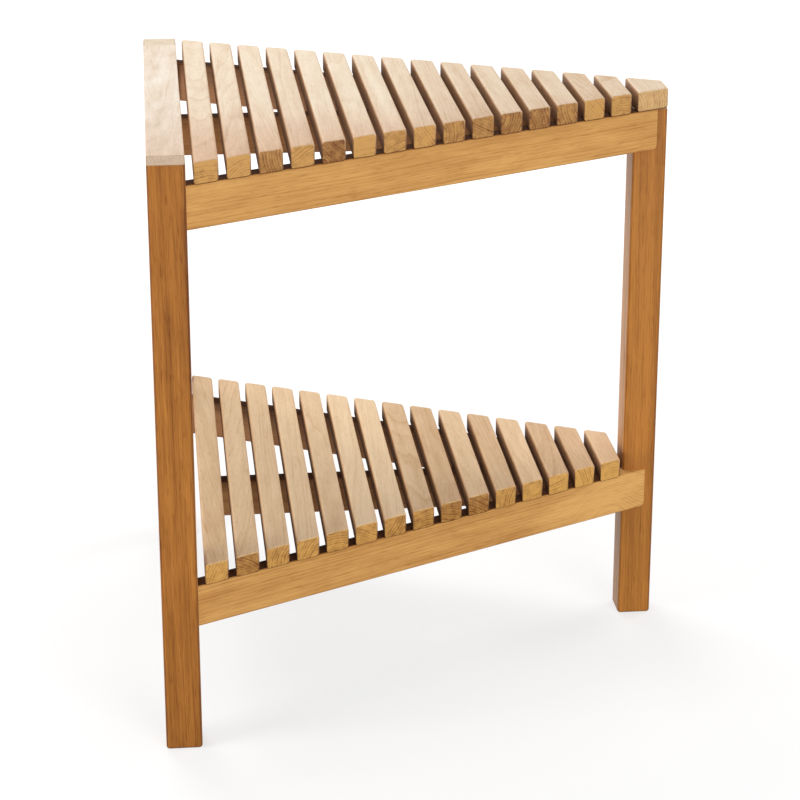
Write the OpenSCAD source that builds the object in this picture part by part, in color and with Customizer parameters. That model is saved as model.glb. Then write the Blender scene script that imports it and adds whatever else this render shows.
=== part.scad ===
// Three-legged teak shower bench with a slatted triangular seat and a slatted shelf.
// Frame: X runs along the slats, Y is the axis of symmetry from the long side (-Y) to the
// single leg at the point (+Y), Z is up. The origin is on the floor under the middle.
// Each level is a pair of side rails that meet over the point leg, a mid rail between them
// and slats of falling length, doweled to the rails from inside.

/* [Overall] */
// Height of the seat above the floor
seat_height = 457; // [380:1:560]
// Width of the long side, over its two legs
bench_width = 447; // [360:1:560]
// Depth from the long side to the point, over the legs
bench_depth = 415; // [345:1:520]
// Height of the top of the shelf above the floor
shelf_height = 149; // [90:1:240]

/* [Legs] */
// Side of the square legs
leg_size = 27.5; // [22:0.5:34]
// Radius on the long edges of the legs
leg_arris = 2.75; // [1:0.25:5]
// Bevel round the feet
foot_bevel = 2; // [0.5:0.25:4]
// Bevel round the leg tops
leg_top_bevel = 1; // [0.5:0.25:3]

/* [Slats] */
// Number of equal slats on each level
slat_count = 15; // [10:1:18]
// Width of an equal slat
slat_width = 18; // [12:0.5:22]
// Thickness of every slat
slat_thickness = 17; // [12:0.5:24]
// Radius on the long edges of the slats
slat_arris = 2.25; // [0.5:0.25:3]
// Bevel along the cut ends of the slats
slat_end_bevel = 1.5; // [0.25:0.25:2]
// Radius on the long edges of the seat's end slat, which runs on from the leg tops
end_slat_arris = 1; // [0.5:0.25:3]

/* [Rails] */
// Height of the side rails
side_rail_height = 33; // [26:0.5:50]
// Height of the mid rails
mid_rail_height = 30.5; // [26:0.5:50]
// Thickness of the rails
rail_thickness = 15; // [12:0.5:20]
// Radius on the long edges of the rails
rail_arris = 1.5; // [0.5:0.25:3]
// How far the slat ends stand out past the side rails
slat_overhang = 3; // [1:0.5:8]
// How far the seat's mid rail stops short of the long side
mid_rail_setback = 4; // [1:0.5:12]
// How far the shelf's mid rail reaches under its first slat
mid_rail_reach = 2; // [1:0.5:10]
// Radius of the lower corner where a side rail ends on the point leg
rail_tip_radius = 4; // [1:0.5:8]
// Thickness left at that end, so that it isn't a knife edge
rail_tip_land = 1.2; // [0.5:0.1:3]

/* [Joints] */
// Thickness of the rail tenons
tenon_thickness = 6; // [4:0.5:8]
// Height of the rail tenons
tenon_height = 20; // [12:0.5:24]
// Thickness of the tenons of the seat's end slat
end_tenon_thickness = 8; // [5:0.5:9]
// Shoulder on each edge of those tenons
end_tenon_shoulder = 5; // [3:0.5:7]
// Wood left in a leg behind a mortise
mortise_wall = 15.5; // [11:0.5:18]
// Clearance on each cheek of a tenon
tenon_clearance = 0.15; // [0.05:0.05:0.4]
// Diameter of the dowels
dowel_diameter = 6; // [4:0.5:8]
// How far a dowel reaches into each piece
dowel_reach = 8; // [5:0.5:10]
// Clearance round a dowel
dowel_clearance = 0.1; // [0.05:0.05:0.3]
// Room past the end of a tenon or a dowel
end_clearance = 0.5; // [0.2:0.1:1]
// Distance of the nose slat's two dowels from the bench's tip
nose_dowel_inset = 8; // [6:0.5:10]
// Distance between the nose slat's two dowels
nose_dowel_spacing = 13; // [9:0.5:16]

/* [Hidden] */
$fn = 48;

function slat_name(level, i) = str(level, "_slat_", i < 10 ? "0" : "", i);

// Colours of the oiled wood: legs, rails, seat slats, shelf slats and dowels
leg_colour = "#a56a2f";
rail_colour = "#c8944d";
seat_colour = "#dcc39f";
shelf_colour = "#cfa97d";
dowel_colour = "#d8b98a";

// Faces that the pieces share
long_side_y = -bench_depth / 2;
long_legs_y = long_side_y + leg_size; // inner faces of the two long-side legs
point_y = bench_depth / 2;
point_leg_y = point_y - leg_size; // inner face of the point leg
long_legs_x = bench_width / 2 - leg_size; // inner faces of the same two legs, across
seat_rail_top = seat_height - slat_thickness;
shelf_rail_top = shelf_height - slat_thickness;
tenon_depth = leg_size - mortise_wall;
tenon_root = rail_thickness / 4; // how far inside its rail the solid of a tenon starts
margin = 1; // how far a cut runs past the wood that it takes away

// The slats fill the run between the legs with equal gaps
slat_run = point_leg_y - long_legs_y;
slat_gap = (slat_run - slat_count * slat_width) / (slat_count + 1);
slat_pitch = slat_width + slat_gap;

// The slats' ends lie on a line from the edge of a long-side leg to the tip of the point leg
outline_start_x = bench_width / 2 - leg_arris;
outline_slope = (outline_start_x - leg_size / 2) / (point_y - long_legs_y);
outline_angle = atan(outline_slope);
rail_centre = slat_overhang + rail_thickness / 2;

// Half the width of the slat outline at y, moved in by a distance square to the line
function outline_x(y, inset = 0) =
    outline_start_x - inset / cos(outline_angle) - (y - long_legs_y) * outline_slope;

// Middle of slat number i, counted from 1 at the long side
function slat_y(i) = long_legs_y + slat_gap + (i - 1) * slat_pitch + slat_width / 2;

// Board section with its four edges rounded, from the origin into +X and +Y
module board_section(size, radius) {
    translate([radius, 0]) square([size.x - 2 * radius, size.y]);
    translate([0, radius]) square([size.x, size.y - 2 * radius]);
    for (x = [radius, size.x - radius], y = [radius, size.y - radius])
        translate([x, y]) circle(radius);
}

// Straight board along +X, with its section in Y and Z
module board_x(length, size, radius)
    rotate([90, 0, 90]) linear_extrude(length) board_section(size, radius);

// Straight board along +Y, with its section in X and Z
module board_y(length, size, radius)
    rotate([90, 0, 0]) mirror([0, 0, 1]) linear_extrude(length) board_section(size, radius);

// Bar that bevels the edge along the local Y axis
module bevel_bar(length, bevel)
    rotate([0, 45, 0])
        cube([bevel * sqrt(2), length, bevel * sqrt(2)], center = true);

// Box given by its two opposite corners
module box_between(low, high)
    translate(low) cube(high - low);

// Puts its children at the right-hand side rail's line, local Y along the rail from the
// long-side legs' inner faces towards the point, local X outwards
module on_right_line(inset = 0)
    translate([outline_x(long_legs_y, inset), long_legs_y, 0])
        rotate([0, 0, outline_angle]) children();

// ---------------------------------------------------------------- legs

module leg_blank(height) {
    bevels = [[0, foot_bevel], [height, leg_top_bevel]];
    difference() {
        translate([-leg_size / 2, -leg_size / 2, 0])
            linear_extrude(height) board_section([leg_size, leg_size], leg_arris);
        for (end = bevels, turn = [0:90:270])
            rotate([0, 0, turn]) translate([leg_size / 2, 0, end[0]])
                bevel_bar(leg_size + 2 * end[1], end[1]);
    }
}

// Mortises of the right-hand long-side leg, for the two side rails and the end slat
module leg_right() {
    color(leg_colour)
    difference() {
        translate([long_legs_x + leg_size / 2, long_side_y + leg_size / 2, 0])
            leg_blank(seat_height);
        for (top = [seat_rail_top, shelf_rail_top])
            side_rail_foot_tenon(top, tenon_clearance, end_clearance);
        end_slat_tenons(tenon_clearance, end_clearance);
    }
}

module leg_left() mirror([1, 0, 0]) leg_right();

// The point leg stops under the nose slat. Its inner face takes the mid rails, and its two
// inner edges take the side rails.
module leg_point() {
    color(leg_colour)
    difference() {
        translate([0, point_leg_y + leg_size / 2, 0]) leg_blank(seat_rail_top);
        for (top = [seat_rail_top, shelf_rail_top]) {
            for (side = [0, 1])
                mirror([side, 0, 0])
                    side_rail_point_tenon(top, tenon_clearance, end_clearance);
            mid_rail_tenon(top, tenon_clearance, end_clearance);
        }
        nose_dowels(dowel_clearance, end_clearance);
    }
}

// ---------------------------------------------------------------- rails

// Straight tenon of a side rail into the inner face of the long-side leg
module side_rail_foot_tenon(top, cheek = 0, past = 0) {
    x = outline_x(long_legs_y, rail_centre);
    middle = top - side_rail_height / 2;
    half = [tenon_thickness / 2 + cheek, tenon_height / 2 + cheek];
    box_between(
        [x - half.x, long_legs_y - tenon_depth - past, middle - half.y],
        [x + half.x, long_legs_y + tenon_root, middle + half.y]);
}

// Slanting tenon of a side rail, through the inner edge of the point leg
module side_rail_point_tenon(top, cheek = 0, past = 0) {
    middle = top - side_rail_height / 2;
    half = [tenon_thickness / 2 + cheek, tenon_height / 2 + cheek];
    translate([leg_size / 2, point_leg_y, middle]) rotate([0, 0, outline_angle])
        box_between(
            [-half.x, -rail_thickness, -half.y],
            [half.x, tenon_depth + past, half.y]);
}

// Tenon of a mid rail, into the middle of the point leg's inner face
module mid_rail_tenon(top, cheek = 0, past = 0) {
    middle = top - mid_rail_height / 2;
    half = [tenon_thickness / 2 + cheek, tenon_height / 2 + cheek];
    box_between(
        [-half.x, point_leg_y - tenon_root, middle - half.y],
        [half.x, point_leg_y + tenon_depth + past, middle + half.y]);
}

// Side rail on the right. Its foot is cut to the long-side leg's inner face. Its other end
// is notched over the inner edge of the point leg and dies away along that leg's side.
module side_rail(top) {
    run = slat_run / cos(outline_angle);
    tip_y = point_leg_y + (outline_x(point_leg_y, slat_overhang) - leg_size / 2 - rail_tip_land)
        / outline_slope;
    base = top - side_rail_height;
    far = bench_width;
    difference() {
        union() {
            difference() {
                on_right_line(slat_overhang + rail_thickness)
                    translate([0, -rail_thickness, base])
                        board_y(
                            run + 4 * leg_size,
                            [rail_thickness, side_rail_height],
                            rail_arris);
                box_between(
                    [0, long_legs_y - far, base - margin],
                    [far, long_legs_y, top + margin]);
                box_between(
                    [-far, point_leg_y, base - margin],
                    [leg_size / 2, point_leg_y + far, top + margin]);
                box_between(
                    [-far, tip_y, base - margin],
                    [far, tip_y + far, top + margin]);
                mid_rail_space(base, top);
                side_rail_tip_corner(tip_y, base);
            }
            side_rail_foot_tenon(top);
            side_rail_point_tenon(top);
        }
        rail_dowel_bores(top);
    }
}

// The side rails are planed where they would run into the mid rail
module mid_rail_space(base, top)
    box_between(
        [-rail_thickness / 2, point_leg_y - bench_depth, base - margin],
        [rail_thickness / 2, point_leg_y + margin, top + margin]);

// Rounds off the lower corner of the side rail's tip
module side_rail_tip_corner(tip_y, base)
    translate([0, tip_y - rail_tip_radius, base + rail_tip_radius])
        rotate([90, 0, 90]) linear_extrude(bench_width) difference() {
            translate([0, -rail_tip_radius - margin]) square(rail_tip_radius + margin);
            circle(rail_tip_radius);
        }

// Mid rail from start_y to the point leg
module mid_rail(top, start_y)
    difference() {
        union() {
            translate([-rail_thickness / 2, start_y, top - mid_rail_height])
                board_y(
                    point_leg_y - start_y,
                    [rail_thickness, mid_rail_height],
                    rail_arris);
            mid_rail_tenon(top);
        }
        rail_dowel_bores(top);
    }

module seat_rail_right() color(rail_colour) side_rail(seat_rail_top);
module seat_rail_left() mirror([1, 0, 0]) seat_rail_right();
module seat_rail_mid() color(rail_colour) mid_rail(seat_rail_top, long_side_y + mid_rail_setback);

module shelf_rail_right() color(rail_colour) side_rail(shelf_rail_top);
module shelf_rail_left() mirror([1, 0, 0]) shelf_rail_right();
module shelf_rail_mid()
    color(rail_colour) mid_rail(shelf_rail_top, slat_y(1) + slat_width / 2 - mid_rail_reach);

// ---------------------------------------------------------------- slats

// Cuts its children to the slanting ends on both sides, and bevels those ends
module cut_to_outline(top) {
    reach = bench_width;
    difference() {
        children();
        for (side = [0, 1])
            mirror([side, 0, 0]) on_right_line() {
                translate([0, -reach, top - slat_thickness - margin])
                    cube([reach, 3 * reach, slat_thickness + 2 * margin]);
                for (z = [top - slat_thickness, top])
                    translate([0, reach / 2, z]) bevel_bar(2 * reach, slat_end_bevel);
            }
    }
}

module slat_blank(from_y, width, top)
    translate([-bench_width / 2, from_y, top - slat_thickness])
        board_x(bench_width, [width, slat_thickness], slat_arris);

module slat(i, top, colour)
    color(colour)
    difference() {
        cut_to_outline(top) slat_blank(slat_y(i) - slat_width / 2, slat_width, top);
        slat_dowels(i, top - slat_thickness, dowel_clearance, end_clearance);
    }

// Short tenons of the seat's end slat, into both long-side legs
module end_slat_tenons(cheek = 0, past = 0) {
    middle = seat_height - slat_thickness / 2;
    half_x = long_legs_x + tenon_depth + past;
    half_z = end_tenon_thickness / 2 + cheek;
    box_between(
        [-half_x, long_side_y + end_tenon_shoulder - cheek, middle - half_z],
        [half_x, long_legs_y - end_tenon_shoulder + cheek, middle + half_z]);
}

// The end slat is as wide as the legs and lies between them, flush with their tops
module seat_end_slat()
    color(seat_colour)
    difference() {
        union() {
            translate([-long_legs_x, long_side_y, seat_rail_top])
                board_x(2 * long_legs_x, [leg_size, slat_thickness], end_slat_arris);
            end_slat_tenons();
        }
        end_slat_dowel(dowel_clearance, end_clearance);
    }

// The nose slat covers the top of the point leg and the ends of the side rails
module seat_nose_slat()
    color(seat_colour)
    difference() {
        cut_to_outline(seat_height) slat_blank(point_leg_y, leg_size, seat_height);
        nose_dowels(dowel_clearance, end_clearance);
    }

// ---------------------------------------------------------------- dowels

// Upright dowel, or its bore, centred on the face between two pieces
module dowel(place, round_it = 0, past = 0)
    translate([place.x, place.y, place.z - dowel_reach - past])
        cylinder(d = dowel_diameter + 2 * round_it, h = 2 * (dowel_reach + past));

// The dowels of slat i: one in each side rail and, where the mid rail passes, one there
module slat_dowels(i, face_z, round_it = 0, past = 0) {
    y = slat_y(i);
    x = outline_x(y, rail_centre);
    over_mid = face_z == seat_rail_top || i > 1;
    for (place = over_mid ? [-x, 0, x] : [-x, x])
        dowel([place, y, face_z], round_it, past);
}

module end_slat_dowel(round_it = 0, past = 0)
    dowel([0, long_side_y + leg_size / 2, seat_rail_top], round_it, past);

module nose_dowels(round_it = 0, past = 0)
    for (side = [-1, 1])
        dowel([side * nose_dowel_spacing / 2, point_y - nose_dowel_inset, seat_rail_top],
            round_it, past);

module rail_dowel_bores(face_z) {
    for (i = [1:slat_count]) slat_dowels(i, face_z, dowel_clearance, end_clearance);
    if (face_z == seat_rail_top) end_slat_dowel(dowel_clearance, end_clearance);
}

module seat_dowels()
    color(dowel_colour) {
        for (i = [1:slat_count]) slat_dowels(i, seat_rail_top);
        end_slat_dowel();
        nose_dowels();
    }

module shelf_dowels()
    color(dowel_colour)
        for (i = [1:slat_count]) slat_dowels(i, shelf_rail_top);

// ---------------------------------------------------------------- assembly

leg_left();
leg_right();
leg_point();
seat_rail_left();
seat_rail_right();
seat_rail_mid();
shelf_rail_left();
shelf_rail_right();
shelf_rail_mid();
seat_end_slat();
seat_nose_slat();
for (i = [1:slat_count]) {
    slat(i, seat_height, seat_colour);
    slat(i, shelf_height, shelf_colour);
}
seat_dowels();
shelf_dowels();
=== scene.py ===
import math
import random

import bmesh
import bpy
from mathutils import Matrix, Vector


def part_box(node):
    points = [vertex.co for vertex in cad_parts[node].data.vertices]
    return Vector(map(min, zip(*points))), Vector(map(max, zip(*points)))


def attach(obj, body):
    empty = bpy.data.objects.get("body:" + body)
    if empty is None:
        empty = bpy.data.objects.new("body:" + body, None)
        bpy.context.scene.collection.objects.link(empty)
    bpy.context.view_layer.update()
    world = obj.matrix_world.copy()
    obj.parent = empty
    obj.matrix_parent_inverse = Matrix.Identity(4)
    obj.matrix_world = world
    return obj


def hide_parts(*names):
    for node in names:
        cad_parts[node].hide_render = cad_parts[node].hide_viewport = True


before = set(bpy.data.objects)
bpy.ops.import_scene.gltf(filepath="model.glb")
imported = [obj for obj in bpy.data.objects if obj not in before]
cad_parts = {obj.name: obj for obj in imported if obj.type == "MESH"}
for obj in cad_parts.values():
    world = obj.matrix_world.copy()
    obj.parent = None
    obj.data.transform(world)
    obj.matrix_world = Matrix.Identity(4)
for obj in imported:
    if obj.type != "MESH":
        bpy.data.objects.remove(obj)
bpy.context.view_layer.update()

# The looks of a three-legged corner bench of teak, with a slatted seat and a slatted shelf.
# Sizes of the part in metres: X along the slats, +Y towards the point leg, Z up
SEAT_TOP = 0.457
SHELF_TOP = 0.149
WIDTH = 0.447
DEPTH = 0.415
LEG = 0.0275
LEG_ARRIS = 0.00275
LEG_FOOT_ROUND = 0.0024
LEG_TOP_ROUND = 0.001
SLATS = 15
SLAT_WIDTH = 0.018
SLAT_THICK = 0.017
SLAT_ARRIS = 0.00225
SLAT_END_ROUND = 0.0015
NOSE_END_ROUND = 0.0022
END_SLAT_ARRIS = 0.001
END_SLAT_END_ROUND = 0.0003
RAIL_THICK = 0.015
RAIL_ARRIS = 0.0015
MID_RAIL_HIGH = 0.0305
MID_RAIL_END_ROUND = 0.0004
MID_RAIL_SETBACK = 0.004
MID_RAIL_REACH = 0.002

LONG_SIDE_Y = -DEPTH / 2
POINT_Y = DEPTH / 2
LONG_LEGS_Y = LONG_SIDE_Y + LEG
POINT_LEG_Y = POINT_Y - LEG
SLAT_GAP = (POINT_LEG_Y - LONG_LEGS_Y - SLATS * SLAT_WIDTH) / (SLATS + 1)
SLAT_PITCH = SLAT_WIDTH + SLAT_GAP
FIRST_SLAT_Y = LONG_LEGS_Y + SLAT_GAP + SLAT_WIDTH / 2

# The slanting outline that slats and side rails follow, from the long-side legs to the point leg
OUTLINE_START_X = WIDTH / 2 - LEG_ARRIS
OUTLINE_SLOPE = (OUTLINE_START_X - LEG / 2) / (POINT_Y - LONG_LEGS_Y)
OUTLINE_MIDDLE_X = OUTLINE_START_X + LONG_LEGS_Y * OUTLINE_SLOPE
OUTLINE_TURN = math.atan(OUTLINE_SLOPE)

ALONG_X = (1.0, 0.0, 0.0)
ALONG_Y = (0.0, 1.0, 0.0)
ALONG_Z = (0.0, 0.0, 1.0)


def colour(code):
    """A colour written as it shows on screen, made linear."""
    parts = [int(code[i : i + 2], 16) / 255 for i in (1, 3, 5)]
    return (*(p / 12.92 if p < 0.04045 else ((p + 0.055) / 1.055) ** 2.4 for p in parts), 1)


# ------------------------------------------------------------------ node trees as expressions


class Socket:
    """An output in a node tree. Operators on it add Math nodes, or Vector Math on vectors."""

    def __init__(self, tree, socket):
        self.tree = tree
        self.socket = socket

    def maths(self, operation, *others):
        return self.tree.maths(operation, self, *others)

    def __add__(self, other):
        return self.maths("ADD", other)

    def __radd__(self, other):
        return self.maths("ADD", other)

    def __sub__(self, other):
        return self.maths("SUBTRACT", other)

    def __rsub__(self, other):
        return self.tree.maths("SUBTRACT", other, self)

    def __mul__(self, other):
        return self.maths("MULTIPLY", other)

    def __rmul__(self, other):
        return self.maths("MULTIPLY", other)

    def __truediv__(self, other):
        return self.maths("DIVIDE", other)

    def __pow__(self, other):
        return self.maths("POWER", other)

    def __gt__(self, other):
        return self.maths("GREATER_THAN", other)

    def __abs__(self):
        return self.maths("ABSOLUTE")

    def dot(self, other):
        product = {"operation": "DOT_PRODUCT"}
        return self.tree.node("ShaderNodeVectorMath", product, self, other, out="Value")

    def length(self):
        return self.tree.node("ShaderNodeVectorMath", {"operation": "LENGTH"}, self, out="Value")

    def xyz(self):
        split = self.tree.outputs("ShaderNodeSeparateXYZ", {}, self)
        return [split[axis] for axis in "XYZ"]


class Tree:
    """A node tree that is written node by node."""

    def __init__(self, tree):
        self.tree = tree
        tree.nodes.clear()

    def feed(self, socket, value):
        if isinstance(value, Socket):
            self.tree.links.new(value.socket, socket)
        else:
            socket.default_value = value

    def outputs(self, kind, settings, *values, **named):
        """Adds a node: its settings first, then what feeds its sockets, in order or by name."""
        node = self.tree.nodes.new(kind)
        for key, value in settings.items():
            if key == "stops":
                self.set_stops(node.color_ramp, value)
            else:
                setattr(node, key, value)
        inputs = [socket for socket in node.inputs if socket.enabled]
        for socket, value in zip(inputs, values):
            self.feed(socket, value)
        for name, value in named.items():
            self.feed(next(socket for socket in inputs if socket.name == name), value)
        return {socket.name: Socket(self, socket) for socket in node.outputs if socket.enabled}

    def node(self, kind, settings, *values, out=None, **named):
        """Adds a node and gives its first output, or the one that out names."""
        outputs = self.outputs(kind, settings, *values, **named)
        return outputs[out] if out else next(iter(outputs.values()), None)

    @staticmethod
    def set_stops(ramp, stops):
        while len(ramp.elements) < len(stops):
            ramp.elements.new(0.5)
        for element, (place, value) in zip(ramp.elements, stops):
            element.position = place
            element.color = (value, value, value, 1)

    def maths(self, operation, *values):
        kinds = [value.socket.type for value in values if isinstance(value, Socket)]
        vector = "VECTOR" in kinds or any(isinstance(value, tuple) for value in values)
        kind = "ShaderNodeVectorMath" if vector else "ShaderNodeMath"
        return self.node(kind, {"operation": operation}, *values)

    def smoothstep(self, value, low, high):
        settings = {"interpolation_type": "SMOOTHSTEP"}
        return self.node("ShaderNodeMapRange", settings, value, low, high)

    def combine(self, x, y, z):
        return self.node("ShaderNodeCombineXYZ", {}, x, y, z)

    def blend(self, share, first, second):
        return self.node("ShaderNodeMix", {"data_type": "RGBA"}, share, first, second)


# ------------------------------------------------------------------ sorts of teak

TEAK = {
    # Colours where the figure is palest and darkest: on sides, tops, ends and inner faces. Tops are
    # paler partly from weathering and partly as painted sheen of the light from above
    "light": "#e4ae64", "dark": "#ad7434",
    "top_light": "#e2b878", "top_dark": "#b98348",
    "end_light": "#e2b06a", "end_dark": "#84502a",
    # The inner faces' colours are painted shade
    "inner_light": "#aa774a", "inner_dark": "#7a4c2c",
    # How strongly each part of the figure shows
    "rings": 0.30, "fibres": 0.75, "bands": 0.55, "mottles": 0.0, "pores": 0.25, "streaks": 0.2,
    # How far boards differ in tone, and how dark their rounded edges are painted, as shade
    "tones": 0.25, "edges": 0.0,
    # Sheen, and how much duller the tops are
    "rough": 0.46, "gloss": 0.3, "dull_top": 0.0,
    # How much a face looks up where a top begins and where it is one, and if it hides end grain
    "upward": (0.35, 0.9), "top_over_end": 0.0,
    # How much less pale the tops are painted at the end of a way across the bench, as the light falls
    # off, and what one metre along X, Y and Z adds to the way, which starts at 0 and ends at 1
    "tanned": 0.0, "tan_way": (2 / WIDTH, 0.0, 0.0),
    # How much the face towards the open long side is painted paler, as sheen
    "sunned": 0.0,
    # Colours and strengths of rubbed upper edges of ends, and of painted shade on their lower edges and
    # low in the gaps
    "rim": "#ecca8e", "rubbed": 0.0, "soil": "#5e3414", "soiled": 0.0, "gap_dirt": 0.0,
    # The height of the slats' tops
    "height": SEAT_TOP,
    # Of side rails only: where the knot is, where the bare tip starts, and which way is inward
    "knot": None, "open_from": None, "inward": None,
}


def palette(sort, **changes):
    """A sort of board: another sort's colours and strengths with some of them changed."""
    wood = {**sort, **changes}
    return {key: colour(value) if isinstance(value, str) else value for key, value in wood.items()}


LEG_WOOD = palette(
    TEAK,
    light="#ba7a36", dark="#69360d",
    top_light="#e0d0b4", top_dark="#c4a886",
    end_light="#c99a5c", end_dark="#7c4e28",
    rings=0.24, fibres=0.85, bands=0.9, mottles=0.5, pores=0.18, streaks=0.12,
    tones=0.8, edges=0.35, rough=0.40, gloss=0.2, top_over_end=1.0, tanned=0.36)

# The point leg's face towards the open long side has painted sheen
POINT_LEG_WOOD = palette(LEG_WOOD, sunned=0.15)

# The rails' tops are painted dark, as the shade between the slats
RAIL_WOOD = palette(
    TEAK,
    light="#e7b167", dark="#ac7132",
    top_light="#663a18", top_dark="#46260e",
    rings=0.45, fibres=0.45, mottles=0.75, pores=0.2, streaks=0.08,
    edges=0.35, upward=(0.8, 0.97), dull_top=0.4)

# The bare tip of the shelf rail starts just before the last slat ends
BARE_TIP_Y = FIRST_SLAT_Y + (SLATS - 0.6) * SLAT_PITCH
SIDE_RAIL_WOOD = palette(RAIL_WOOD, open_from=BARE_TIP_Y)

# The mid rails stand in shade under the slats and are painted darker than the rails' outer faces, as
# that shade
MID_RAIL_WOOD = palette(
    RAIL_WOOD,
    light="#bb8651", dark="#885631",
    end_light="#bd8c55", end_dark="#6f4624")

SEAT_WOOD = palette(
    TEAK,
    light="#d8ae86", dark="#a2754e",
    top_light="#eddcc2", top_dark="#c9a47b",
    end_light="#d19e5b", end_dark="#774625",
    rings=0.3, fibres=0.36, bands=0.45, mottles=0.6, pores=0.2,
    tones=0.42, rough=0.5, tanned=1.0, rim="#f0d6ae", rubbed=0.3, soiled=0.7, gap_dirt=0.65)

END_SLAT_WOOD = palette(
    SEAT_WOOD,
    top_light="#f1e6d7", top_dark="#ccaf8b",
    rings=0.14, bands=0.6, mottles=1.0, tanned=0.6)

NOSE_SLAT_WOOD = palette(SEAT_WOOD, end_light="#dcb27a", end_dark="#8c6038")

SHELF_WOOD = palette(
    TEAK,
    light="#deb488", dark="#aa7d53",
    top_light="#e9cca4", top_dark="#c0986a",
    end_light="#dca75a", end_dark="#7e4a20",
    rings=0.32, fibres=0.36, bands=0.45, mottles=0.55, pores=0.2,
    tones=0.7, rough=0.5, tanned=0.6, tan_way=(1.0, 5.5, 0.0),
    rim="#efcd8e", rubbed=0.6, soiled=0.7, gap_dirt=0.9, height=SHELF_TOP)

DOWEL_WOOD = palette(TEAK, rings=0.1)

# ------------------------------------------------------------------ teak

# Parts of the figure: size across and along the grain in metres, and levels of finer detail
FIGURE = {
    "waves": (0.03, 0.22, 2.0),
    "ripples": (0.004, 0.03, 2.0),
    "fibres": (0.0007, 0.030, 3.0),
    "bands": (0.007, 0.26, 1.0),
    "mottles": (0.009, 0.045, 3.0),
    "pores": (0.0008, 0.011, 0.0),
    "streaks": (0.0022, 0.16, 1.0),
    "end_dots": (0.0009, 0.02, 1.0),
    "end_patches": (0.006, 0.02, 1.0),
}
MIDDLE = 0.5
PORES_SHOW = (0.62, 0.74)
STREAKS_SHOW = (0.62, 0.78)

# Growth rings: their width, what pushes them about, and how dark one is from its start to its end
RING_WIDTH = 0.0027
WAVE_PUSH = 0.010
RIPPLE_PUSH = 0.0008
RING_UNEVENNESS = 0.55
RING_UNEVENNESS_SCALE = 0.7
RING_PROFILE = ((0.0, 0.0), (0.09, 1.0), (0.24, 0.5), (0.55, 0.12), (1.0, 0.0))
RING_WEAKEST = 0.15
RING_AVERAGE = 0.15

# The knot pushes the rings out round it, and round it the wood is painted paler as light on the open
# tip, both from near to far
KNOT_PUSH = 0.020
KNOT_PUSH_REACH = (0.002, 0.046)
KNOT_PALENESS = 0.35
KNOT_PALENESS_REACH = (0.01, 0.10)

# Darkness of long grain and of end grain, and what the figure adds to that of end grain
LONG_GRAIN_DARKNESS = 0.42
END_DARKNESS = 0.14
END_RINGS = 0.75
END_DOTS = 0.8
END_PATCHES = 0.85
END_SHADES = 0.8
AVERAGE_SHADE = 0.35

# Tone and shade of a board that has none of its own, and what draws a shade from a tone
PLAIN_TONE = 0.5
PLAIN_SHADE = 0.4
SHADE_SHUFFLE = 7.31

# Facings between which a surface turns into each kind: 1 looks straight its way and 0 across it
FLAT_FACE = (0.8, 0.97)
INNER_FACE = (0.6, 0.9)
END_FACE = (0.62, 0.78)
END_EDGE_STARTS = (0.3, 0.5)
END_EDGE_STOPS = (0.72, 0.9)
UPPER_EDGE = (0.1, 0.5)
LOWER_EDGE = (-0.5, -0.1)
OPEN_SIDE_FACE = (-0.95, -0.7)

# How high a cloudy pattern is where upper edges of ends begin to be rubbed and where they are
RUBBED_PATCHES = (0.35, 0.65)

# Painted shade lies in the gaps from just past the first slat's side to just before the point. It
# deepens from one depth below the slats' tops to the other
DIRT_MARGIN = 0.001
DIRT_FROM_Y = FIRST_SLAT_Y - SLAT_WIDTH / 2 + DIRT_MARGIN
DIRT_TO_Y = POINT_Y - DIRT_MARGIN
DIRT_DEPTHS = (0.001, 0.013)

# How far the change to the bare tip of a side rail is spread
OPEN_TIP_BLUR = 0.001

# Roughness that the figure and the shaded gaps add, and the relief that the figure makes
FIBRE_ROUGHNESS = 0.16
RING_ROUGHNESS = 0.10
DIRT_ROUGHNESS = 0.5
FIBRE_RELIEF = 0.5
PORE_RELIEF = 0.5
RING_RELIEF = 0.35
BUMP_STRENGTH = 0.35
BUMP_HEIGHT = 0.00012
OILED_WOOD_IOR = 1.45


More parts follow.
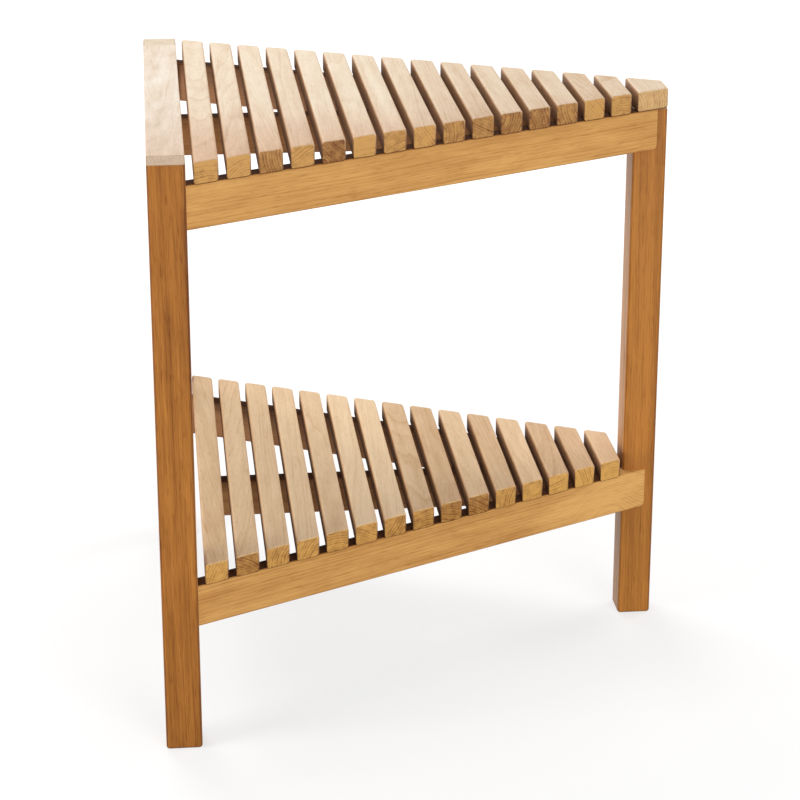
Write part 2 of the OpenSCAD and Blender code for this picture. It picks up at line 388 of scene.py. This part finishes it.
class Board:
    """Oiled teak at each point of a board, from its place in the log and the way it faces."""

    def __init__(self, tree, wood, grain, log_place):
        self.tree = tree
        self.wood = wood
        self.point = tree.node("ShaderNodeTexCoord", {}, out="Object")
        if log_place:
            self.place = log_place(tree, self.point)
            self.tone = PLAIN_TONE
            self.shade = PLAIN_SHADE
        else:
            self.place = tree.node("ShaderNodeAttribute", {"attribute_name": "log_place"}, out="Vector")
            self.tone = tree.node("ShaderNodeAttribute", {"attribute_name": "tone"}, out="Fac")
            self.shade = (self.tone * SHADE_SHUFFLE).maths("FRACT")
        normal = tree.node("ShaderNodeNewGeometry", {}, out="Normal")
        self.facing_x, self.facing_y, self.facing_z = normal.xyz()
        self.facing_end = abs(normal.dot(grain))
        self.facing_in = normal.dot(wood["inward"]) if wood["inward"] else None
        self.ring, self.paler = self.rings_and_knot()
        self.fibre = self.clouds("fibres")
        self.pore = tree.smoothstep(self.clouds("pores"), *PORES_SHOW)
        self.upward = self.top_share()
        self.dirt = self.dirt_share()

    def clouds(self, part):
        """Cloudy pattern from 0 to 1, in the size of a part of the figure."""
        across, along, detail = FIGURE[part]
        place = self.place / (across, along, across)
        return self.tree.node("ShaderNodeTexNoise", {}, place, Scale=1.0, Detail=detail)

    def rings_and_knot(self):
        """Growth rings round the pith, uneven in width and strength, and painted light round the knot.
        """
        tree = self.tree
        across, _, depth = self.place.xyz()
        wave = self.clouds("waves") - MIDDLE
        ripple = self.clouds("ripples") - MIDDLE
        radius = (across * across + depth * depth) ** 0.5 + wave * WAVE_PUSH + ripple * RIPPLE_PUSH
        paler = 0.0
        if self.wood["knot"]:
            away = (self.point - self.wood["knot"]).length()
            radius = radius + KNOT_PUSH * (1 - tree.smoothstep(away, *KNOT_PUSH_REACH))
            # Painted light: paler round the knot, at the shelf rail's open tip
            paler = KNOT_PALENESS * (1 - tree.smoothstep(away, *KNOT_PALENESS_REACH))
        along_line = {"noise_dimensions": "1D"}
        rings = radius / RING_WIDTH
        uneven = tree.node(
            "ShaderNodeTexNoise", along_line, W=rings, Scale=RING_UNEVENNESS_SCALE, Detail=0.0)
        rings = rings + RING_UNEVENNESS * uneven
        strength = tree.node("ShaderNodeTexWhiteNoise", along_line, W=rings.maths("FLOOR"))
        ring = tree.node("ShaderNodeValToRGB", {"stops": RING_PROFILE}, rings.maths("FRACT"))
        return ring * (RING_WEAKEST + (1 - RING_WEAKEST) * strength), paler

    def top_share(self):
        """How much of a top's look the surface has."""
        tree, wood = self.tree, self.wood
        share = tree.smoothstep(self.facing_z, *wood["upward"])
        if wood["tanned"]:
            # The tops are painted less and less pale this way across the bench, as the light falls off
            way = self.point.dot(wood["tan_way"])
            share = share * (1 - wood["tanned"] * tree.smoothstep(way, 0.0, 1.0))
        if wood["open_from"]:
            # The painted shade on the rails' tops stops at the shelf rail's bare tip, out from under
            # the slats
            _, y, z = self.point.xyz()
            beyond = tree.smoothstep(y, wood["open_from"], wood["open_from"] + OPEN_TIP_BLUR)
            in_shelf = 1 - (z > SEAT_TOP / 2)
            share = share * (1 - beyond * in_shelf)
        return share

    def dirt_share(self):
        """How much painted shade darkens a slat low between it and the next."""
        if not self.wood["gap_dirt"]:
            return 0.0
        _, y, z = self.point.xyz()
        between = (y > DIRT_FROM_Y) * (1 - (y > DIRT_TO_Y))
        low = self.tree.smoothstep(self.wood["height"] - z, *DIRT_DEPTHS)
        return self.wood["gap_dirt"] * between * low

    def rounded_edge(self):
        """1 on the rounded edge between two faces of the board, 0 on its faces."""
        if self.wood["inward"]:
            facing_side = abs(self.facing_in)
        else:
            facing_side = abs(self.facing_x).maths("MAXIMUM", abs(self.facing_y))
        facing = abs(self.facing_z).maths("MAXIMUM", facing_side)
        return 1 - self.tree.smoothstep(facing, *FLAT_FACE)

    def long_grain(self):
        """Colour of the board's sides and tops."""
        tree, wood = self.tree, self.wood
        streak = tree.smoothstep(self.clouds("streaks"), *STREAKS_SHOW)
        dark = (
            LONG_GRAIN_DARKNESS
            + wood["rings"] * (self.ring - RING_AVERAGE)
            + wood["fibres"] * (self.fibre - MIDDLE)
            + wood["bands"] * (self.clouds("bands") - MIDDLE)
            + wood["mottles"] * (self.clouds("mottles") - MIDDLE)
            + wood["tones"] * (self.tone - MIDDLE)
            + wood["pores"] * self.pore
            + wood["streaks"] * streak
            # The rounded edges are painted darker, as shade
            + wood["edges"] * self.rounded_edge()
            - self.paler
        )
        side = tree.blend(dark, wood["light"], wood["dark"])
        # Low in the gaps the sides are painted dark, as shade
        if wood["gap_dirt"]:
            side = tree.blend(self.dirt, side, wood["soil"])
        # Inner faces are painted darker, as shade
        if wood["inward"]:
            inner = tree.blend(dark, wood["inner_light"], wood["inner_dark"])
            side = tree.blend(tree.smoothstep(self.facing_in, *INNER_FACE), side, inner)
        # Tops are paler partly from weathering and partly as painted sheen; the rails' tops are painted
        # dark as shade
        top = tree.blend(dark, wood["top_light"], wood["top_dark"])
        if wood["sunned"]:
            # The face towards the open long side is painted a little paler, towards the tops' colour,
            # as sheen
            open_side = 1 - tree.smoothstep(self.facing_y, *OPEN_SIDE_FACE)
            side = tree.blend(wood["sunned"] * open_side, side, top)
        return tree.blend(self.upward, side, top)

    def end_grain(self, patch):
        """Colour of sawn ends: rings as arcs, pores as dots, patches, and each end's own shade."""
        wood = self.wood
        dark = (
            END_DARKNESS
            + END_RINGS * self.ring
            + END_DOTS * (self.clouds("end_dots") - MIDDLE)
            + END_PATCHES * (patch - MIDDLE)
            + END_SHADES * (self.shade - AVERAGE_SHADE)
        )
        return self.tree.blend(dark, wood["end_light"], wood["end_dark"])

    def skin(self):
        """The board's colour: long grain and end grain, and the edge where they meet."""
        tree, wood = self.tree, self.wood
        patch = self.clouds("end_patches")
        end_share = tree.smoothstep(self.facing_end, *END_FACE)
        end_share = end_share * (1 - self.upward * wood["top_over_end"])
        skin = tree.blend(end_share, self.long_grain(), self.end_grain(patch))
        if wood["rubbed"]:
            # The rounded edge of an end is rubbed paler in places at the top, and painted dark at its
            # foot as shade
            edge = tree.smoothstep(self.facing_end, *END_EDGE_STARTS)
            edge = edge * (1 - tree.smoothstep(self.facing_end, *END_EDGE_STOPS))
            upper = tree.smoothstep(self.facing_z, *UPPER_EDGE)
            lower = 1 - tree.smoothstep(self.facing_z, *LOWER_EDGE)
            rubbed = wood["rubbed"] * tree.smoothstep(patch, *RUBBED_PATCHES)
            skin = tree.blend(edge * upper * rubbed, skin, wood["rim"])
            skin = tree.blend(edge * lower * wood["soiled"], skin, wood["soil"])
        return skin

    def roughness(self):
        return (
            self.wood["rough"]
            + FIBRE_ROUGHNESS * (self.fibre - MIDDLE)
            + RING_ROUGHNESS * self.ring
            + self.wood["dull_top"] * self.upward
            + DIRT_ROUGHNESS * self.dirt
        )

    def relief(self):
        return self.fibre * FIBRE_RELIEF + (1 - self.pore) * PORE_RELIEF - self.ring * RING_RELIEF


def teak(name, wood, grain, log_place=None):
    """A material of oiled teak with its grain along an axis.

    log_place works out a point's place in the log, which is across, along and across it. Boards
    that were given theirs as an attribute need none."""
    material = bpy.data.materials.new(name)
    material.use_nodes = True
    tree = Tree(material.node_tree)
    board = Board(tree, wood, grain, log_place)
    bump = tree.node(
        "ShaderNodeBump", {}, Strength=BUMP_STRENGTH, Distance=BUMP_HEIGHT, Height=board.relief())
    surface = tree.node("ShaderNodeBsdfPrincipled", {}, **{
        "Base Color": board.skin(),
        "Roughness": board.roughness(),
        "Normal": bump,
        "IOR": OILED_WOOD_IOR,
        "Specular IOR Level": wood["gloss"]})
    tree.node("ShaderNodeOutputMaterial", {}, surface)
    return material


# ------------------------------------------------------------------ pieces

BEVEL_SEGMENTS = 4
FLAT_FACE_WEIGHT = 100

# How near to the pith and far from it boards are, how long the log is, and how much they lean in it
PITH_NEAR = 0.03
PITH_FAR = 0.09
LOG_LENGTH = 9
MOST_LEAN = 0.02


def add_object(name, data):
    thing = bpy.data.objects.new(name, data)
    bpy.context.scene.collection.objects.link(thing)
    return thing


def finished(name, holder, material, stands_for, slot):
    """The holder's result as a plain piece of the object that stands for CAD nodes."""
    view = bpy.context.evaluated_depsgraph_get()
    mesh = bpy.data.meshes.new_from_object(
        holder.evaluated_get(view), preserve_all_data_layers=True, depsgraph=view)
    bpy.data.objects.remove(holder)
    mesh.name = name
    piece = add_object(name, mesh)
    if material:
        mesh.materials.clear()
        mesh.materials.append(material)
    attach(piece, "root")
    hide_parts(*stands_for)
    return piece


def soften_shading(holder):
    """Flat faces shade flat and the rounded edges between them smooth."""
    weighted = holder.modifiers.new("weighted_normals", "WEIGHTED_NORMAL")
    weighted.weight = FLAT_FACE_WEIGHT
    weighted.keep_sharp = False


def rounded_block(name, low, high, rounds):
    """A square board with its twelve edges rounded.

    rounds has a radius for edges along an axis, or for such edges at one end, top or foot."""
    mesh = bpy.data.meshes.new(name)
    block = bmesh.new()
    bmesh.ops.create_cube(block, size=1.0)
    for vertex in block.verts:
        vertex.co = [low[i] + (vertex.co[i] + 0.5) * (high[i] - low[i]) for i in range(3)]
    biggest = max(rounds.values())
    weight = block.edges.layers.float.new("bevel_weight_edge")
    for edge in block.edges:
        span = edge.verts[1].co - edge.verts[0].co
        axis = "XYZ"[max(range(3), key=lambda i: abs(span[i]))]
        middle = (edge.verts[0].co + edge.verts[1].co) / 2
        end = "top" if middle.z > (low[2] + high[2]) / 2 else "foot"
        edge[weight] = rounds.get((axis, end), rounds.get(axis)) / biggest
    block.to_mesh(mesh)
    block.free()
    for face in mesh.polygons:
        face.use_smooth = True
    holder = add_object(name + "_making", mesh)
    bevel = holder.modifiers.new("rounded_edges", "BEVEL")
    bevel.limit_method = "WEIGHT"
    bevel.width = biggest
    bevel.segments = BEVEL_SEGMENTS
    bevel.use_clamp_overlap = False
    soften_shading(holder)
    return holder


def mark_grain(piece, axis, seed, tone):
    """Gives a piece its place in the log and its tone. The grain runs along the axis."""
    chance = random.Random(seed)
    turn = chance.uniform(0, 2 * math.pi)
    pith = chance.uniform(PITH_NEAR, PITH_FAR)
    start = chance.uniform(0, LOG_LENGTH)
    lean = chance.uniform(-MOST_LEAN, MOST_LEAN)
    along = "XYZ".index(axis)
    first, second = [i for i in range(3) if i != along]
    vertices = piece.data.vertices
    centre = sum((vertex.co for vertex in vertices), Vector()) / len(vertices)
    places = []
    for vertex in vertices:
        off = vertex.co - centre
        places += (
            off[first] * math.cos(turn) - off[second] * math.sin(turn) + pith + lean * off[along],
            off[along] + start,
            off[first] * math.sin(turn) + off[second] * math.cos(turn))
    attributes = piece.data.attributes
    attributes.new("log_place", "FLOAT_VECTOR", "POINT").data.foreach_set("vector", places)
    attributes.new("tone", "FLOAT", "POINT").data.foreach_set("value", [tone] * len(vertices))


def leg(side, seed, tone, wood):
    node = f"leg_{side}"
    low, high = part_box(node)
    rounds = {
        "Z": LEG_ARRIS,
        ("X", "foot"): LEG_FOOT_ROUND, ("Y", "foot"): LEG_FOOT_ROUND,
        ("X", "top"): LEG_TOP_ROUND, ("Y", "top"): LEG_TOP_ROUND}
    name = f"{side}_leg_board"
    holder = rounded_block(name, low, high, rounds)
    piece = finished(name, holder, wood, [node], "teak_legs")
    mark_grain(piece, "Z", seed, tone)


def mid_rail(level, start_y, slats_top, seed, wood):
    top = slats_top - SLAT_THICK
    low = (-RAIL_THICK / 2, start_y, top - MID_RAIL_HIGH)
    high = (RAIL_THICK / 2, POINT_LEG_Y, top)
    rounds = {"Y": RAIL_ARRIS, "X": MID_RAIL_END_ROUND, "Z": MID_RAIL_END_ROUND}
    name = f"{level}_mid_rail_board"
    holder = rounded_block(name, low, high, rounds)
    piece = finished(name, holder, wood, [f"{level}_rail_mid"], "teak_rails")
    mark_grain(piece, "Y", seed, PLAIN_TONE)


# ------------------------------------------------------------------ slats, as a rule

SLAT_ROW_SIZES = (
    ("Count", "Int"), ("First Y", "Float"), ("Pitch", "Float"), ("Width", "Float"),
    ("Thickness", "Float"), ("Top", "Float"), ("Half Length", "Float"), ("Slope", "Float"),
    ("Arris", "Float"), ("End Round", "Float"), ("Seed", "Int"), ("Material", "Material"),
)
STORE = "GeometryNodeStoreNamedAttribute"
NAMED = "GeometryNodeInputNamedAttribute"
VECTOR = {"data_type": "FLOAT_VECTOR"}
NUMBER = {"data_type": "FLOAT"}

# How many cross-sections a blank has, and the place beyond which each of the last three lies
STATIONS = 9
LAST_BUT_TWO = 0.4
LAST_BUT_ONE = 0.6
LAST = 0.9
ARRIS_SEGMENTS = 4

# As for the other boards, but slats were sawn nearer the pith and lean more
SLAT_PITH_NEAR = 0.02
SLAT_PITH_FAR = 0.08
SLAT_MOST_LEAN = 0.08


def slat_blank(tree, size):
    """A slat with rounded long edges, whose X runs from -1 to 1. It remembers its own places."""
    section = tree.node("GeometryNodeCurvePrimitiveQuadrilateral", {}, size["Width"], size["Thickness"])
    section = tree.node(
        "GeometryNodeFilletCurve", {"mode": "POLY"}, section,
        Count=ARRIS_SEGMENTS, Radius=size["Arris"])
    spine = tree.node("GeometryNodeCurvePrimitiveLine", {}, (-1, 0, 0), (1, 0, 0))
    spine = tree.node("GeometryNodeResampleCurve", {"mode": "COUNT"}, spine, Count=STATIONS)
    spine = tree.node("GeometryNodeSetCurveNormal", {"mode": "Z_UP"}, spine)
    blank = tree.node("GeometryNodeCurveToMesh", {}, spine, section, **{"Fill Caps": True})
    position = tree.node("GeometryNodeInputPosition", {})
    return tree.node(STORE, VECTOR, blank, Name="local", Value=position)


def row_of_blanks(tree, size, blank):
    """A blank at each place of the row. Each remembers which one it is."""
    places = tree.node(
        "GeometryNodeMeshLine", {"mode": "OFFSET"}, size["Count"],
        **{"Start Location": tree.combine(0, size["First Y"], size["Top"] - size["Thickness"] / 2),
           "Offset": tree.combine(0, size["Pitch"], 0)})
    index = tree.node("GeometryNodeInputIndex", {})
    places = tree.node(STORE, NUMBER, places, Name="slat", Value=index)
    row = tree.node("GeometryNodeInstanceOnPoints", {}, places, Instance=blank)
    return tree.node("GeometryNodeRealizeInstances", {}, row)


def cut_place(tree, size, local, slat):
    """Where a blank's point lies on the slat that is cut to the outline, with rounded ends."""
    local_x, local_y, local_z = local
    station = abs(local_x)
    near_end = station > LAST_BUT_TWO
    nearer_end = station > LAST_BUT_ONE
    at_end = station > LAST
    # The rounded end has one step between its start and its end, at 45 degrees
    slant = math.sqrt(0.5)
    inset = size["End Round"] * (near_end - nearer_end * slant - at_end * (1 - slant))
    shrink = size["End Round"] * (nearer_end * (1 - slant) + at_end * slant)
    y = size["First Y"] + size["Pitch"] * slat + local_y * (1 - 2 * shrink / size["Width"])
    thick = local_z * (1 - 2 * shrink / size["Thickness"])
    z = size["Top"] - size["Thickness"] / 2 + thick
    half_length = size["Half Length"] - size["Slope"] * y
    side = local_x.maths("SIGN")
    x = near_end * side * (half_length - inset) + (1 - near_end) * local_x * half_length
    return x, y, z


def slat_in_log(tree, size, local, slat, x):
    """Each slat's own place in the log, and its own tone."""
    def chance(step, low, high):
        seed = size["Seed"] + step
        return tree.node("FunctionNodeRandomValue", NUMBER, Min=low, Max=high, ID=slat, Seed=seed)

    _, local_y, local_z = local
    turn = chance(1, 0.0, 2 * math.pi)
    pith = chance(2, SLAT_PITH_NEAR, SLAT_PITH_FAR)
    start = chance(3, 0.0, LOG_LENGTH)
    lean = chance(4, -SLAT_MOST_LEAN, SLAT_MOST_LEAN)
    tone = chance(5, 0.0, 1.0)
    sine = turn.maths("SINE")
    cosine = turn.maths("COSINE")
    place = tree.combine(
        local_y * cosine - local_z * sine + pith + lean * x,
        x + start,
        local_y * sine + local_z * cosine)
    return place, tone


def slat_row_tree():
    """Node tree of a row of slats whose ends follow the slanting outline on both sides."""
    group = bpy.data.node_groups.new("slat_row", "GeometryNodeTree")
    for name, kind in SLAT_ROW_SIZES:
        group.interface.new_socket(name, in_out="INPUT", socket_type="NodeSocket" + kind)
    group.interface.new_socket("Geometry", in_out="OUTPUT", socket_type="NodeSocketGeometry")
    tree = Tree(group)
    size = tree.outputs("NodeGroupInput", {})
    row = row_of_blanks(tree, size, slat_blank(tree, size))
    local = tree.node(NAMED, VECTOR, "local").xyz()
    slat = tree.node(NAMED, NUMBER, "slat")
    x, y, z = cut_place(tree, size, local, slat)
    row = tree.node("GeometryNodeSetPosition", {}, row, Position=tree.combine(x, y, z))
    place, tone = slat_in_log(tree, size, local, slat, x)
    row = tree.node(STORE, VECTOR, row, Name="log_place", Value=place)
    row = tree.node(STORE, NUMBER, row, Name="tone", Value=tone)
    row = tree.node("GeometryNodeSetShadeSmooth", {}, row)
    row = tree.node("GeometryNodeSetMaterial", {}, row, Material=size["Material"])
    tree.node("NodeGroupOutput", {}, row)
    return group


def slat_row(name, tree, stands_for, slot, **sizes):
    """A row of slats as one piece. Sizes are the tree's inputs by name, with _ for a space."""
    holder = add_object(name + "_making", bpy.data.meshes.new(name))
    modifier = holder.modifiers.new("slat_row", "NODES")
    modifier.node_group = tree
    keys = {item.name: item.identifier for item in tree.interface.items_tree if item.in_out == "INPUT"}
    for key, value in sizes.items():
        modifier[keys[key.replace("_", " ")]] = value
    soften_shading(holder)
    finished(name, holder, None, stands_for, slot)


# ------------------------------------------------------------------ the bench

# Of each leg: its side, the seed of its figure and its tone
LEGS = (("right", 4, 0.53), ("left", 11, 0.5), ("point", 7, 0.19))

# Seeds of the figure of the other boards
SEAT_MID_RAIL_SEED = 21
SHELF_MID_RAIL_SEED = 22
SEAT_SEED = 41945
SHELF_SEED = 59346
NOSE_SLAT_SEED = 226
END_SLAT_SEED = 134

# The side rails' log: how far out, to the left and up its pith lies, and its pitch and roll
RAIL_PITH_OUT = 0.13
RAIL_PITH_LEFT = 0.03
RAIL_PITH_UP = 0.33
RAIL_LOG_PITCH = 0.015
RAIL_LOG_ROLL = 0.4
RAIL_KNOT = (0.036, 0.168, 0.118)
DOWEL_PITH = (0.05, 0.0, 0.0)


def make_legs():
    leg_wood = teak("leg_teak", LEG_WOOD, ALONG_Z)
    point_leg_wood = teak("point_leg_teak", POINT_LEG_WOOD, ALONG_Z)
    for side, seed, tone in LEGS:
        leg(side, seed, tone, point_leg_wood if side == "point" else leg_wood)


def make_mid_rails():
    """The seat's mid rail starts under the end slat, and the shelf's under the first slat."""
    wood = teak("mid_rail_teak", MID_RAIL_WOOD, ALONG_Y)
    mid_rail("seat", LONG_SIDE_Y + MID_RAIL_SETBACK, SEAT_TOP, SEAT_MID_RAIL_SEED, wood)
    shelf_start_y = FIRST_SLAT_Y + SLAT_WIDTH / 2 - MID_RAIL_REACH
    mid_rail("shelf", shelf_start_y, SHELF_TOP, SHELF_MID_RAIL_SEED, wood)


def finish_nodes(nodes, material):
    """Gives CAD nodes that keep their shape their material."""
    for name in nodes:
        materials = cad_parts[name].data.materials
        materials.clear()
        materials.append(material)


def finish_side_rails():
    """The side rails' grain runs along the outline. Their inner faces are painted darker, as shade."""
    for side, sign, knot in (("right", 1, RAIL_KNOT), ("left", -1, None)):
        def log_place(tree, point, sign=sign):
            return tree.node("ShaderNodeMapping", {"vector_type": "TEXTURE"}, point, **{
                "Location": (RAIL_PITH_OUT * sign - RAIL_PITH_LEFT, 0.0, RAIL_PITH_UP),
                "Rotation": (RAIL_LOG_PITCH, RAIL_LOG_ROLL * sign, OUTLINE_TURN * sign)})

        inward = (-sign * math.cos(OUTLINE_TURN), -math.sin(OUTLINE_TURN), 0.0)
        wood = palette(SIDE_RAIL_WOOD, knot=knot, inward=inward)
        material = teak(f"{side}_rail_teak", wood, ALONG_Y, log_place)
        finish_nodes((f"seat_rail_{side}", f"shelf_rail_{side}"), material)


def make_slats():
    tree = slat_row_tree()
    common = {
        "Thickness": SLAT_THICK, "Half_Length": OUTLINE_MIDDLE_X, "Slope": OUTLINE_SLOPE,
        "Arris": SLAT_ARRIS, "End_Round": SLAT_END_ROUND}
    seat_teak = teak("seat_teak", SEAT_WOOD, ALONG_X)
    shelf_teak = teak("shelf_teak", SHELF_WOOD, ALONG_X)
    for level, top, material, seed in (
            ("seat", SEAT_TOP, seat_teak, SEAT_SEED), ("shelf", SHELF_TOP, shelf_teak, SHELF_SEED)):
        nodes = [f"{level}_slat_{i:02d}" for i in range(1, SLATS + 1)]
        slat_row(
            f"{level}_slat_row", tree, nodes, f"teak_{level}",
            Count=SLATS, First_Y=FIRST_SLAT_Y, Pitch=SLAT_PITCH, Width=SLAT_WIDTH, Top=top,
            Seed=seed, Material=material, **common)

    # The two wide slats are rows of one
    single = {**common, "Count": 1, "Pitch": 0.0, "Width": LEG, "Top": SEAT_TOP}
    nose = {**single, "First_Y": POINT_Y - LEG / 2, "End_Round": NOSE_END_ROUND}
    nose_teak = teak("nose_slat_teak", NOSE_SLAT_WOOD, ALONG_X)
    slat_row(
        "nose_slat_board", tree, ["seat_nose_slat"], "teak_seat",
        Seed=NOSE_SLAT_SEED, Material=nose_teak, **nose)
    straight = {
        **single, "First_Y": LONG_SIDE_Y + LEG / 2, "Half_Length": WIDTH / 2 - LEG, "Slope": 0.0,
        "Arris": END_SLAT_ARRIS, "End_Round": END_SLAT_END_ROUND}
    end_slat_teak = teak("end_slat_teak", END_SLAT_WOOD, ALONG_X)
    slat_row(
        "end_slat_board", tree, ["seat_end_slat"], "teak_seat",
        Seed=END_SLAT_SEED, Material=end_slat_teak, **straight)


def finish_dowels():
    def log_place(_, point):
        return point + DOWEL_PITH

    material = teak("dowel_teak", DOWEL_WOOD, ALONG_Z, log_place)
    finish_nodes(("seat_dowels", "shelf_dowels"), material)


# ------------------------------------------------------------------ studio

WHITE = (1, 1, 1, 1)
FLOOR_GREY = (0.38, 0.38, 0.38, 1)
FLOOR_REACH = 9.0

# The floor is just white where nothing shades it. The lamps light its middle, so it glows less there
MIDDLE_GLOW = 0.63
BORDER_GLOW = 0.84
GLOW_GROWS = (0.4, 1.7)
SKY_LIGHT = 0.42
SKY_SEEN = 1.0

# Of each softbox: name, place, what it is aimed at, size and power in watts
SOFTBOXES = (
    ("top_softbox", (-1.3, -0.4, 1.9), (0, 0, 0.4), 1.2, 22),
    ("front_softbox", (2.4, 0.9, 0.8), (0, 0, 0.25), 1.4, 36),
    ("left_softbox", (0.9, -2.3, 0.8), (0, 0, 0.25), 1.2, 41),
    ("rear_softbox", (-1.3, 2.1, 0.9), (0, 0, 0.25), 1.2, 22),
)

# The camera looks along -X, down and a little towards the point leg. Angles are in radians
CAMERA_PLACE = (1.9, -0.2007, 0.8806)
CAMERA_DOWN = 0.3442
CAMERA_ASIDE = 0.1021
CAMERA_LENS = 110.3
CAMERA_SENSOR = 36.0
CAMERA_NEAREST = 0.05
CAMERA_FURTHEST = 60.0


def seen_directly(tree):
    """1 for rays from the camera, a mirror or a clear piece, which meet the white studio."""
    path = tree.outputs("ShaderNodeLightPath", {})
    seen = path["Is Camera Ray"].maths("MAXIMUM", path["Is Glossy Ray"])
    return seen.maths("MAXIMUM", path["Is Transmission Ray"])


def make_floor():
    mesh = bpy.data.meshes.new("floor")
    corners = [(x * FLOOR_REACH, y * FLOOR_REACH, 0) for x, y in ((-1, -1), (1, -1), (1, 1), (-1, 1))]
    mesh.from_pydata(corners, [], [(0, 1, 2, 3)])
    floor = add_object("floor", mesh)
    material = bpy.data.materials.new("floor_white")
    material.use_nodes = True
    tree = Tree(material.node_tree)
    plain = tree.node("ShaderNodeBsdfDiffuse", {}, FLOOR_GREY)
    away = tree.node("ShaderNodeTexCoord", {}, out="Object").length()
    middle = tree.node("ShaderNodeEmission", {}, WHITE, MIDDLE_GLOW)
    border = tree.node("ShaderNodeEmission", {}, WHITE, BORDER_GLOW)
    glow = tree.node("ShaderNodeMixShader", {}, tree.smoothstep(away, *GLOW_GROWS), middle, border)
    bright = tree.node("ShaderNodeAddShader", {}, plain, glow)
    both = tree.node("ShaderNodeMixShader", {}, seen_directly(tree), plain, bright)
    tree.node("ShaderNodeOutputMaterial", {}, both)
    mesh.materials.append(material)


def make_world():
    world = bpy.data.worlds.new("studio")
    bpy.context.scene.world = world
    world.use_nodes = True
    tree = Tree(world.node_tree)
    soft = tree.node("ShaderNodeBackground", {}, WHITE, SKY_LIGHT)
    white = tree.node("ShaderNodeBackground", {}, WHITE, SKY_SEEN)
    both = tree.node("ShaderNodeMixShader", {}, seen_directly(tree), soft, white)
    tree.node("ShaderNodeOutputWorld", {}, both)


def add_softbox(name, place, aim, size, power):
    light = bpy.data.lights.new(name, "AREA")
    light.shape = "SQUARE"
    light.size = size
    light.energy = power
    lamp = add_object(name, light)
    lamp.location = place
    lamp.rotation_mode = "QUATERNION"
    lamp.rotation_quaternion = (Vector(aim) - Vector(place)).to_track_quat("-Z", "Y")
    lamp.visible_camera = False


def make_camera():
    view = bpy.data.cameras.new("camera")
    view.sensor_width = CAMERA_SENSOR
    view.lens = CAMERA_LENS
    view.clip_start = CAMERA_NEAREST
    view.clip_end = CAMERA_FURTHEST
    camera = add_object("camera", view)
    camera.location = CAMERA_PLACE
    camera.rotation_euler = (math.pi / 2 - CAMERA_DOWN, 0, math.pi / 2 - CAMERA_ASIDE)
    bpy.context.scene.camera = camera


make_legs()
make_mid_rails()
finish_side_rails()
make_slats()
finish_dowels()

make_floor()
make_world()
for softbox in SOFTBOXES:
    add_softbox(*softbox)
bpy.context.scene.view_settings.view_transform = "Standard"
make_camera()

bpy.context.view_layer.update()
